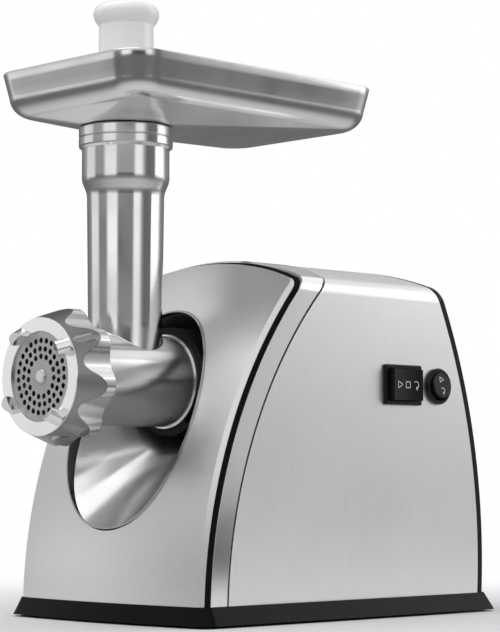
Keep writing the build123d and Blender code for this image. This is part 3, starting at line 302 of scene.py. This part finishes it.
def brushed(name, grain, level, roughness):
    """Sheet steel brushed along one axis, with streaks of several lengths."""
    stretch = tuple(0.03 if axis == grain else 1.0 for axis in "XYZ")

    def streaks(tree):
        fine = tree.noise(stretch, 5200.0, 2.0)
        coarse = tree.noise(stretch, 1400.0, 2.0)
        return tree.math("ADD", tree.math("MULTIPLY", fine, 0.6), tree.math("MULTIPLY", coarse, 0.4))

    def colour(tree):
        return tree.ramp(streaks(tree), ((0.32, level * 0.95), (0.68, level * 1.04)), smooth=False)

    def rough(tree):
        levels = ((0.3, roughness * 0.82), (0.7, roughness * 1.18))
        streaky = tree.ramp(streaks(tree), levels, smooth=False)
        worn = tree.ramp(tree.noise((1, 1, 1), 14.0), ((0.3, 0.92), (0.7, 1.08)), smooth=False)
        return tree.mix(1.0, streaky, worn, "MULTIPLY")

    return finish_material(name, colour, rough, metallic=1.0, bump=streaks, bump_depth=2e-6)


def turned(name, axis, level, roughness, depth=1.2e-6, edge=0.0003, **more):
    """Turned or polished metal: very fine rings round an axis, slight haze."""
    stretch = tuple(1.0 if letter == axis else 0.02 for letter in "XYZ")

    def rings(tree):
        return tree.noise(stretch, 4200.0, 2.0)

    return finish_material(
        name,
        lambda tree: tree.mix(tree.noise((1, 1, 1), 30.0), grey(level * 0.97), grey(level * 1.03)),
        varied(24.0, roughness * 0.75, roughness * 1.25),
        metallic=1.0, bump=rings, bump_depth=depth, edge=edge, **more,
    )


BARREL_Z = 0.132                    # height of the barrel's axis, which runs front to back
TUBE_Y = -0.0782                    # place of the feed tube's upright axis
TUBE_FOOT_Z = 0.160                 # the head's marks run round the tube above this, round the barrel below


def marks_round_barrel(tree):
    """The direction of turning marks round the barrel."""
    place = tree.split(tree.place((1, 1, 1)))
    return turning_direction(tree, tree.math("SUBTRACT", BARREL_Z, place["Z"]), "Z", place["X"])


def marks_round_tube(tree):
    """The direction of turning marks round the feed tube."""
    place = tree.split(tree.place((1, 1, 1)))
    return turning_direction(tree, tree.math("SUBTRACT", TUBE_Y, place["Y"]), "Y", place["X"])


def turning_direction(tree, across, other_axis, along):
    """A direction from its X part and one other part, which turns with the piece it is on."""
    vector = tree.add("ShaderNodeCombineXYZ")
    tree.link(across, vector.inputs["X"])
    tree.link(along, vector.inputs[other_axis])
    turned_with_piece = tree.add(
        "ShaderNodeVectorTransform", vector_type="VECTOR", convert_from="OBJECT", convert_to="WORLD")
    tree.link(vector.outputs[0], turned_with_piece.inputs[0])
    return turned_with_piece.outputs[0]


def head_grain(tree):
    """Turning marks of the head: round the barrel low down, round the feed tube above it."""
    height = tree.split(tree.place((1, 1, 1)))["Z"]
    choose = tree.add("ShaderNodeMix", data_type="VECTOR")
    tree.link(tree.math("GREATER_THAN", height, TUBE_FOOT_Z), choose.inputs[0])
    tree.link(marks_round_barrel(tree), choose.inputs[4])
    tree.link(marks_round_tube(tree), choose.inputs[5])
    return choose.outputs[1]


# Highlights drawn out across the turning marks
DRAWN_OUT = {"Anisotropic": 0.85, "Anisotropic_Rotation": 0.25}


def fine_grain(tree):
    """The close, even grain of a casting."""
    return tree.noise((1, 1, 1), 2600.0)


def cast(name, level, roughness, depth=1.5e-5, edge=0.0004):
    """Satin casting: fine even grain and faint larger clouds."""
    def grain(tree):
        fine = fine_grain(tree)
        broad = tree.noise((1, 1, 1), 260.0, 2.0)
        return tree.math("ADD", tree.math("MULTIPLY", fine, 0.7), tree.math("MULTIPLY", broad, 0.3))

    def colour(tree):
        return tree.ramp(grain(tree), ((0.30, level * 0.86), (0.70, level * 1.06)), smooth=False)

    return finish_material(name, colour, varied(60.0, roughness * 0.9, roughness * 1.12),
                           metallic=1.0, bump=grain, bump_depth=depth, edge=edge)


NUT_FACE_Y = -0.1384                # the flat front face of the ring nut
NUT_FACE_R = 0.0316                 # its radius, where the nut's front cone starts
NUT_SPREAD = 0.35                   # growth of the cone's radius per length
CONE_MARGIN = 0.0002                # surfaces within this of the cone belong to it


def on_nut_cone(tree):
    """1 on the nut's front cone, 0 on its flat face and in the flutes cut into the cone."""
    place = tree.split(tree.place((1, 1, 1)))
    up = tree.math("SUBTRACT", place["Z"], BARREL_Z)
    radius = tree.math("SQRT", tree.math(
        "ADD", tree.math("MULTIPLY", place["X"], place["X"]), tree.math("MULTIPLY", up, up)))
    along = tree.math("SUBTRACT", place["Y"], NUT_FACE_Y)
    cone = tree.math("ADD", tree.math("MULTIPLY", along, NUT_SPREAD), NUT_FACE_R)
    outside = tree.math("GREATER_THAN", tree.math("SUBTRACT", radius, cone), -CONE_MARGIN)
    return tree.math("MULTIPLY", outside, tree.math("GREATER_THAN", along, 1.5 * CONE_MARGIN))


def two_tone_casting(name, level, dull_level, roughness, dull_roughness):
    """Casting of the nut: flutes and face buffed bright, and the front cone between them left dull."""
    def colour(tree):
        fine = fine_grain(tree)
        bright = tree.ramp(fine, ((0.30, level * 0.88), (0.70, level * 1.05)), smooth=False)
        dull = tree.ramp(fine, ((0.30, dull_level * 0.82), (0.70, dull_level * 1.12)), smooth=False)
        return tree.mix(on_nut_cone(tree), bright, dull)

    def rough(tree):
        buffed = varied(60.0, roughness * 0.9, roughness * 1.12)(tree)
        return tree.math("ADD", buffed, tree.math("MULTIPLY", on_nut_cone(tree), dull_roughness - roughness))

    return finish_material(name, colour, rough, metallic=1.0, bump=fine_grain, bump_depth=5e-6, edge=0.00025)


def plastic(name, colour, roughness, depth=6e-6, scale=1800.0, edge=0.0004, **sockets):
    """Moulded plastic: a slight mould texture and uneven gloss."""
    brighter = tuple(min(1.0, value * 1.18 + 0.002) for value in colour)
    return finish_material(
        name,
        tinted(45.0, colour, brighter),
        varied(38.0, roughness * 0.85, roughness * 1.15),
        bump=lambda tree: tree.noise((1, 1, 1), scale, 2.0),
        bump_depth=depth, edge=edge, **sockets,
    )


def ribbed(name, first, second, scale, roughness, depth):
    """Fine stripes along the motor's axis: windings and stacked laminations."""
    def waves(tree):
        node = tree.add("ShaderNodeTexWave", wave_type="BANDS", bands_direction="Y")
        node.inputs["Scale"].default_value = scale
        node.inputs["Distortion"].default_value = 0.4
        tree.link(tree.place((1, 1, 1)), node.inputs["Vector"])
        return node.outputs["Fac"]

    return finish_material(
        name, lambda tree: tree.mix(waves(tree), first, second),
        varied(90.0, roughness * 0.85, roughness * 1.15),
        metallic=1.0, bump=waves, bump_depth=depth,
    )


def make_materials():
    """Every finish on the machine, by the name the pieces below use."""
    return {
        "panel_steel": brushed("panel_steel", "X", 0.76, 0.34),
        "wrap_steel": brushed("wrap_steel", "Z", 0.94, 0.36),
        "band_chrome": turned("band_chrome", "Z", 0.88, 0.10, depth=4e-7),
        "cup_steel": turned("cup_steel", "Y", 0.42, 0.18, depth=4e-7, edge=0.0,
                            grain=marks_round_barrel, **DRAWN_OUT),
        "tube_metal": turned("tube_metal", "Z", 0.80, 0.20, depth=6e-7, edge=0.0002,
                             grain=head_grain, **DRAWN_OUT),
        "tray_metal": turned("tray_metal", "Z", 0.74, 0.22, depth=2.0e-6, edge=0.0),
        "nut_casting": two_tone_casting("nut_casting", 0.84, 0.30, 0.17, 0.33),
        "plate_steel": cast("plate_steel", 0.50, 0.34, depth=8e-6, edge=0.00025),
        "pin_steel": turned("pin_steel", "Y", 0.62, 0.20),
        "machined": turned("machined", "Y", 0.60, 0.25),
        "die_casting": cast("die_casting", 0.62, 0.42),
        "black_gloss": plastic("black_gloss", grey(0.004), 0.26, Specular_IOR_Level=0.08),
        "black_satin": plastic("black_satin", grey(0.010), 0.42, depth=1.2e-5, Specular_IOR_Level=0.15),
        "switch_black": plastic("switch_black", grey(0.006), 0.26, depth=3e-6, edge=0.0003,
                                Specular_IOR_Level=0.2),
        "rubber_black": plastic("rubber_black", grey(0.004), 0.62, depth=1e-5, Specular_IOR_Level=0.08),
        # Painted glow: this white plastic's emission makes the pusher shine a little by itself, though it is
        # no lamp
        "white_plastic": plastic("white_plastic", grey(0.90), 0.22, depth=1e-6, Emission_Strength=0.12,
                                 Subsurface_Weight=0.35, Subsurface_Scale=0.012, Subsurface_Radius=grey(1.0)),
        "icon_white": plastic("icon_white", grey(0.75), 0.5, depth=1e-6, edge=0.0),
        "nylon": plastic("nylon", (0.72, 0.70, 0.64), 0.42),
        "carbon": plastic("carbon", grey(0.03), 0.6),
        "copper": ribbed("copper", (0.42, 0.17, 0.08), (0.72, 0.36, 0.20), 900.0, 0.32, 6e-5),
        "laminations": ribbed("laminations", grey(0.16), grey(0.30), 620.0, 0.45, 3e-5),
    }


NODE_FINISH = {
    "front_panel": "panel_steel", "steel_wrap": "wrap_steel", "chrome_band": "band_chrome",
    "recess_cup": "cup_steel", "head_casting": "tube_metal", "tray": "tray_metal", "ring_nut": "nut_casting",
    "perforated_plate": "plate_steel", "auger": "pin_steel", "knife": "machined", "locating_pin": "machined",
    "base_skirt": "black_gloss", "bottom_plate": "black_satin", "rubber_feet": "rubber_black",
    "base_screws": "machined", "chassis": "black_satin", "rear_cover": "black_satin",
    "panel_gasket": "rubber_black", "cord_gland": "rubber_black", "head_socket": "black_satin",
    "rocker_bezel": "switch_black", "rocker_paddle": "switch_black", "round_bezel": "switch_black",
    "round_paddle": "switch_black", "pusher": "white_plastic", "motor_stator": "laminations",
    "motor_rotor": "laminations", "field_coils": "copper", "commutator": "copper", "brush_holders": "copper",
    "carbon_brushes": "carbon", "front_bracket": "die_casting", "rear_bracket": "die_casting",
    "gearbox_housing": "die_casting", "gearbox_cover": "die_casting", "motor_bearings": "machined",
    "motor_bolts": "machined", "motor_cradle": "rubber_black", "capacitor": "black_satin",
    "output_bearing": "machined", "motor_shaft": "machined", "cooling_fan": "nylon", "first_gear": "nylon",
    "first_gear_shaft": "machined", "second_gear": "machined", "second_gear_shaft": "machined",
    "output_gear": "machined", "output_shaft": "machined", "thrust_washer": "nylon",
}


def dress_cad_nodes(materials):
    """Give each carried-over CAD node its own finish."""
    for name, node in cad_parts.items():
        node.data.materials.clear()
        node.data.materials.append(materials[NODE_FINISH[name]])


# --- mesh helpers ------------------------------------------------------------------------------
CREASE_ANGLE = radians(35.0)


def make_piece(name, points, faces, material, body):
    """Mesh piece with smooth faces and sharp creases, which rides on a body."""
    mesh = bpy.data.meshes.new(name)
    mesh.from_pydata(points, [], faces)
    mesh.validate()
    mesh.shade_smooth()
    mesh.set_sharp_from_angle(angle=CREASE_ANGLE)
    mesh.materials.append(material)
    piece = bpy.data.objects.new(name, mesh)
    bpy.context.scene.collection.objects.link(piece)
    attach(piece, body)
    return piece


def bridge_rings(rings):
    """Faces between consecutive rings of equal length, and from the last back to the first."""
    count = len(rings[0])
    faces = []
    for low in range(len(rings)):
        high = (low + 1) % len(rings)
        for i in range(count):
            j = (i + 1) % count
            faces.append((low * count + i, low * count + j, high * count + j, high * count + i))
    return faces


# --- tray: one smooth pan with a rolled rim, rounded fold and pyramid floor ------------------------
TRAY_CORNER_STEPS = 14
TRAY_SIDE_STEPS = 8
WALL_STEPS = 3
FOLD_STEPS = 14
FLOOR_STEPS = 10
RIM_STEPS = 6


def rounded_ring(half_x, half_y, corner, middle_y, z):
    """Rounded rectangle as a ring of points, counterclockwise from above, in metres."""
    ring = []
    centres = ((1, 1), (-1, 1), (-1, -1), (1, -1))
    for number, (side_x, side_y) in enumerate(centres):
        centre = (side_x * (half_x - corner), side_y * (half_y - corner))
        for step in range(TRAY_CORNER_STEPS + 1):
            angle = (number + step / TRAY_CORNER_STEPS) * pi / 2
            ring.append((centre[0] + corner * cos(angle), centre[1] + corner * sin(angle)))
        following = centres[(number + 1) % 4]
        target = (following[0] * (half_x - corner), following[1] * (half_y - corner))
        end = (number + 1) * pi / 2
        first = (centre[0] + corner * cos(end), centre[1] + corner * sin(end))
        last = (target[0] + corner * cos(end), target[1] + corner * sin(end))
        for step in range(1, TRAY_SIDE_STEPS):
            share = step / TRAY_SIDE_STEPS
            ring.append((first[0] + (last[0] - first[0]) * share, first[1] + (last[1] - first[1]) * share))
    return [(x, middle_y + y, z) for x, y in ring]


def make_tray(materials):
    """The pan, built outwards and inwards from its rim, with the throat and spigot."""
    low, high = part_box("tray")
    half_x = (high.x - low.x) / 2
    half_y = (high.y - low.y) / 2
    middle_y = (high.y + low.y) / 2
    throat_y = sum(corner.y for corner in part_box("pusher")) / 2
    rim_z = high.z
    sheet = 1.8 * MM
    corner = 19 * MM
    corner_shrinks = 0.45               # loss of corner radius per length inwards
    wall_z = rim_z - 13.0 * MM          # where the straight wall ends and the fold begins
    wall_inset = 2.8 * MM
    fold_z = rim_z - 25.0 * MM          # where the fold meets the floor
    fold_reach = 10.37 * MM
    fold_turn = radians(80)
    underside_z = rim_z - 31.9 * MM
    flange_r = 24.5 * MM
    spigot_r = 20.7 * MM
    throat_r = 17.4 * MM
    throat_lip = 1.6 * MM
    flat = 0.5 * MM                     # the four short flats of a round ring

    def pan_ring(inset, z):
        return rounded_ring(half_x - inset, half_y - inset, corner - inset * corner_shrinks, middle_y, z)

    def round_ring(radius, z):
        return rounded_ring(radius, radius, radius - flat, throat_y, z)

    def side(offset, drop):
        """Rings down the wall and round the fold, offset inwards from the outer face."""
        rings = []
        for step in range(WALL_STEPS + 1):
            share = step / WALL_STEPS
            rings.append(pan_ring(offset + wall_inset * share, rim_z - sheet / 2 + (wall_z - rim_z) * share))
        for step in range(1, FOLD_STEPS + 1):
            turn = step / FOLD_STEPS * fold_turn
            inset = offset + wall_inset + fold_reach * (1 - cos(turn))
            rings.append(pan_ring(inset, wall_z - (wall_z - fold_z) * sin(turn) + drop))
        return rings

    def floor(fold_ring, radius, z):
        """Rings from the fold to the throat, in a straight slope."""
        throat = round_ring(radius, z)
        return [[tuple(a + (b - a) * step / FLOOR_STEPS for a, b in zip(start, end))
                 for start, end in zip(fold_ring, throat)] for step in range(1, FLOOR_STEPS + 1)]

    outer = side(0.0, 0.0)
    outer += floor(outer[-1], flange_r, underside_z)
    spigot = [
        round_ring(spigot_r, underside_z + 0.2 * MM),
        round_ring(spigot_r, low.z + 1.0 * MM),
        round_ring(spigot_r - 0.8 * MM, low.z),
        round_ring(throat_r + 0.4 * MM, low.z),
        round_ring(throat_r, low.z + 0.6 * MM),
        round_ring(throat_r, underside_z + 0.8 * MM),
    ]
    inner = side(sheet, sheet * 0.9)
    inner += floor(inner[-1], throat_r + throat_lip, underside_z + 2.6 * MM)
    rim = []
    for step in range(1, RIM_STEPS):
        turn = pi * step / RIM_STEPS
        rim.append(pan_ring(sheet / 2 * (1 + cos(turn)), rim_z - sheet / 2 + sheet / 2 * sin(turn)))
    rings = outer + spigot + inner[::-1] + rim
    points = [point for ring in rings for point in ring]
    tray = make_piece("loading_tray", points, bridge_rings(rings), materials["tray_metal"],
                      "tray")
    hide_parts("tray")


# --- switch symbols: thin printed strokes on the two paddles -------------------------------------------
STROKE = 0.42 * MM                  # width of a printed stroke
INK = 0.06 * MM                     # how far it lies above and below the surface


def stroke_strip(path, closed, surface):
    """Flat strip along a path of (across, up) points laid on a surface, with a small thickness."""
    points = []
    count = len(path)
    for i, (across, up) in enumerate(path):
        before = path[i - 1] if closed or i > 0 else path[i]
        after = path[(i + 1) % count] if closed or i < count - 1 else path[i]
        along = Vector((after[0] - before[0], after[1] - before[1])).normalized()
        normal = Vector((-along.y, along.x)) * STROKE / 2
        for lift in (INK, -INK):
            points.append(surface(across + normal.x, up + normal.y, lift))
            points.append(surface(across - normal.x, up - normal.y, lift))
    faces = []
    for i in range(count if closed else count - 1):
        a = 4 * i
        b = 4 * ((i + 1) % count)
        faces += [(a, a + 1, b + 1, b), (a + 2, b + 2, b + 3, a + 3),
                  (a, b, b + 2, a + 2), (a + 1, a + 3, b + 3, b + 1)]
    if not closed:
        last = 4 * (count - 1)
        faces += [(0, 2, 3, 1), (last, last + 1, last + 3, last + 2)]
    return points, faces


def polygon_path(corners, per_side=4):
    """Closed polygon with extra points along its sides, so that strips bend with a surface."""
    path = []
    for i, first in enumerate(corners):
        last = corners[(i + 1) % len(corners)]
        for step in range(per_side):
            share = step / per_side
            path.append((first[0] + (last[0] - first[0]) * share, first[1] + (last[1] - first[1]) * share))
    return path


def arrow_symbol(size):
    """Triangle pointing along +across."""
    return [(polygon_path([(-size / 2, -size / 2), (size / 2, 0), (-size / 2, size / 2)]), True)]


def square_symbol(size):
    half = size / 2
    return [(polygon_path([(-half, -half), (half, -half), (half, half), (-half, half)]), True)]


def return_symbol(size):
    """Curved arrow that comes back to where it started."""
    arc = [(size / 2 * cos(radians(a)), size / 2 * sin(radians(a))) for a in range(-80, 131, 15)]
    tip = (0.0, -size / 2)
    head = [(tip[0] + size * 0.28, tip[1] + size * 0.30), tip, (tip[0] + size * 0.30, tip[1] - size * 0.22)]
    return [(arc, False), (head, False)]


def make_symbols(name, symbols, surface, materials, body):
    """One printed piece from several symbols, each (symbol, across, up)."""
    points = []
    faces = []
    for strokes, across, up in symbols:
        for path, closed in strokes:
            placed = [(a + across, u + up) for a, u in path]
            more, more_faces = stroke_strip(placed, closed, surface)
            faces += [tuple(len(points) + i for i in face) for face in more_faces]
            points += more
    make_piece(name, points, faces, materials["icon_white"], body)


def make_rocker_symbols(materials):
    """Three symbols across the rocker's hollow face."""
    low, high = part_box("rocker_paddle")
    middle_y = (low.y + high.y) / 2
    middle_z = (low.z + high.z) / 2
    half = (high.y - low.y) / 2 - 0.3 * MM
    hollow = 0.7 * MM                   # depth of the rocker's curved face
    radius = (half**2 + hollow**2) / (2 * hollow)

    def surface(across, up, lift):
        dip = radius - hollow - sqrt(radius**2 - across**2)
        return (high.x + dip + lift, middle_y + across, middle_z + up)

    size = 4.0 * MM
    pitch = 6.6 * MM
    symbols = [
        (arrow_symbol(size), -pitch, 0),
        (square_symbol(size * 0.85), 0, 0),
        (return_symbol(size), pitch, 0),
    ]
    make_symbols("rocker_symbols", symbols, surface, materials, "main_switch")


def make_round_symbols(materials):
    """Two symbols, one above the other, on the tilted round paddle."""
    tilt = radians(7.0)                 # of the paddle, as modelled
    pivot = Vector((75.0 * MM, 94.75 * MM, 131.1 * MM))
    outwards = Vector((cos(tilt), 0, sin(tilt)))
    upwards = Vector((-sin(tilt), 0, cos(tilt)))
    face = 6.1 * MM                     # from the pivot to the paddle's face

    def surface(across, up, lift):
        return tuple(pivot + outwards * (face + lift) + Vector((0, across, 0)) + upwards * up)

    size = 3.2 * MM
    half_pitch = 3.2 * MM
    symbols = [(arrow_symbol(size), 0, half_pitch), (return_symbol(size), 0, -half_pitch)]
    make_symbols("reverse_symbols", symbols, surface, materials, "reverse_switch")


# --- build -------------------------------------------------------------------------------------------------
make_camera()
make_studio()
make_floor()
soft_box("top_light", (-0.25, -0.35, 1.30), (0, 0, 0.15), 0.9, 4.5)
soft_box("side_light", (0.75, 1.30, 0.75), (0, 0, 0.15), 0.8, 3.0)
finishes = make_materials()
dress_cad_nodes(finishes)
make_tray(finishes)
make_rocker_symbols(finishes)
make_round_symbols(finishes)
bpy.context.scene.view_settings.view_transform = "Standard"
